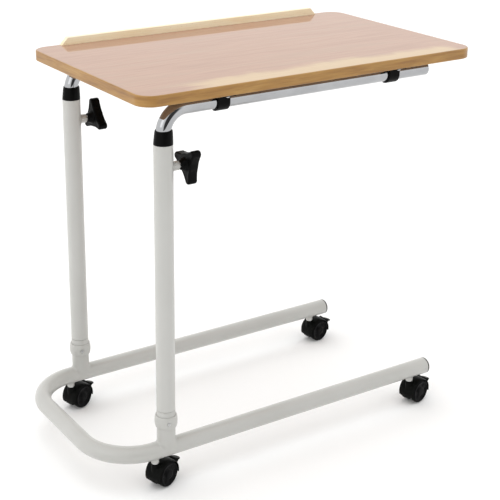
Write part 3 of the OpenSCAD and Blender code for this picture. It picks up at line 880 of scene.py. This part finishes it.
def wheel(name, c, side):
    """One wheel: soft tread with a centre ridge, pressed disc with a rolled rim, five flutes and a hub cap."""
    cx, cy, turn = CASTORS[c]
    R = WHEEL_R
    prof = [(3.1, 6.9), (6.3, 6.9), (6.6, 7.2), (6.6, 9.4), (R - 4.2, 9.4), (R - 4.0, 7.0), (R - 1.6, 6.9), (R - 0.7, 7.15),
            (R - 0.2, 7.9), (R, 9.0), (R, 11.0), (R - 0.12, 12.6), (R - 0.5, 13.7), (R - 1.2, 14.6), (R - 2.2, 15.2), (R - 3.0, 15.35),
            (R - 3.7, 15.1), (R - 4.2, 14.5), (R - 4.6, 14.2), (R - 8.0, 13.9), (10.0, 13.8), (8.2, 14.1), (7.3, 14.7), (6.6, 15.1), (5.4, 15.35), (2.5, 15.4), (0, 15.4),
            (0, 14.05), (3.1, 14.05)]

    ca, sa = math.cos(math.radians(turn)), math.sin(math.radians(turn))

    def place(p):
        u, w, h = p
        # five shallow pockets pressed into the disc
        r = math.hypot(u, w)
        if 9.0 < r < R - 4.9 and h > 13:
            a = math.atan2(w, u)
            q = math.cos(5 * a)
            h = h - 0.9 / (1 + math.exp(-(q - 0.1) * 9))
        lx, ly, lz = TRAIL + u, side * h, WHEEL_R + w
        return (cx + ca * lx - sa * ly, cy + sa * lx + ca * ly, lz)

    return make(name, *lathe(prof, 100, place), sharp=45)


for c, (cx, cy, turn) in CASTORS.items():
    hood = soften(c + "_hood", c + "_moulded_hood", 0.5, 6, 0.3, crown(cx, cy, turn))
    dress(hood, c + "_castor", "castor_plastic", c + "_hood")
    pedal = soften(c + "_brake", c + "_moulded_pedal", 0.4, 6, 0.4)
    dress(pedal, c + "_pedal", "castor_plastic", c + "_brake")
    dress(wheel(c + "_near_disc_wheel", c, -1), c + "_near_roller", "wheel_plastic", c + "_near_wheel")
    dress(wheel(c + "_far_disc_wheel", c, 1), c + "_far_roller", "wheel_plastic", c + "_far_wheel")

# clips under the board, edges eased
for k in ("front_inner_clip", "front_outer_clip", "rear_inner_clip", "rear_outer_clip"):
    dress(soften(k, k + "_moulded", 0.5, 3, 0.3), NODES[k]["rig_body"], "black_plastic", k)

# ---------------------------------------------------------------- stage
floor_me = bpy.data.meshes.new("floor")
F = 6.0
floor_me.from_pydata([(-F, -F, -0.0005), (F, -F, -0.0005), (F, F, -0.0005), (-F, F, -0.0005)], [], [(0, 1, 2, 3)])
floor = bpy.data.objects.new("floor", floor_me)
bpy.context.scene.collection.objects.link(floor)
fm, fnt, fb = nodes_of("floor_white")
set_in(fb, Base_Color=(0.96, 0.96, 0.96, 1), Roughness=0.9, Specular_IOR_Level=0.0)
floor_me.materials.append(fm)

sc = bpy.context.scene
world = bpy.data.worlds.new("studio")
sc.world = world
world.use_nodes = True
wn = world.node_tree
bg = wn.nodes["Background"]
tc = wn.nodes.new("ShaderNodeTexCoord")
sep = wn.nodes.new("ShaderNodeSeparateXYZ")
wn.links.new(tc.outputs["Generated"], sep.inputs[0])
# a white room, dimmer in a patch on the side the viewer stands on
dotp = wn.nodes.new("ShaderNodeVectorMath")
dotp.operation = "DOT_PRODUCT"
dotp.inputs[1].default_value = Vector((-0.16, -0.96, 0.16)).normalized()
wn.links.new(tc.outputs["Generated"], dotp.inputs[0])
patch = span(wn, dotp.outputs["Value"], 0.83, 0.93, 1.0, 0.06, True)
wn.links.new(maths(wn, "MULTIPLY", patch, 1.24), bg.inputs["Strength"])
bg.inputs["Color"].default_value = (1.0, 0.998, 0.992, 1)


def area(name, loc, look, size, power, color=(1, 1, 1)):
    l = bpy.data.lights.new(name, "AREA")
    l.shape = "RECTANGLE"
    l.size, l.size_y = size
    l.energy = power
    l.color = color
    o = bpy.data.objects.new(name, l)
    o.location = loc
    o.rotation_euler = (Vector(look) - Vector(loc)).to_track_quat("-Z", "Y").to_euler()
    sc.collection.objects.link(o)
    return o


area("key_left", (-2.6, -0.6, 1.9), (0, 0, 0.3), (1.6, 2.0), 7)
area("top_soft", (0.3, 0.6, 3.0), (0, 0, 0.3), (2.6, 2.6), 5)

# ---------------------------------------------------------------- camera
cam_data = bpy.data.cameras.new("camera")
cam = bpy.data.objects.new("camera", cam_data)
sc.collection.objects.link(cam)
FOCAL_PX, CX, CY = 1230.40, 209.925, 203.25
right = Vector((0.84618453, -0.53288238, 0.00284896))
up = Vector((0.17673641, 0.28568221, 0.94188636))
fwd = Vector((0.50272854, 0.79650615, -0.33591958))
eye = Vector((-823.92353588 + POST_X, -1428.2149639 + FRONT_Y, 1048.08796834)) * MM
cam.matrix_world = Matrix((
    (right.x, up.x, -fwd.x, eye.x),
    (right.y, up.y, -fwd.y, eye.y),
    (right.z, up.z, -fwd.z, eye.z),
    (0, 0, 0, 1),
))
cam_data.sensor_width = 36.0
cam_data.lens = FOCAL_PX / 500 * 36.0
cam_data.shift_x = (250 - CX) / 500
cam_data.shift_y = (CY - 250) / 500
cam_data.clip_end = 50
sc.camera = cam
sc.view_settings.view_transform = "Standard"
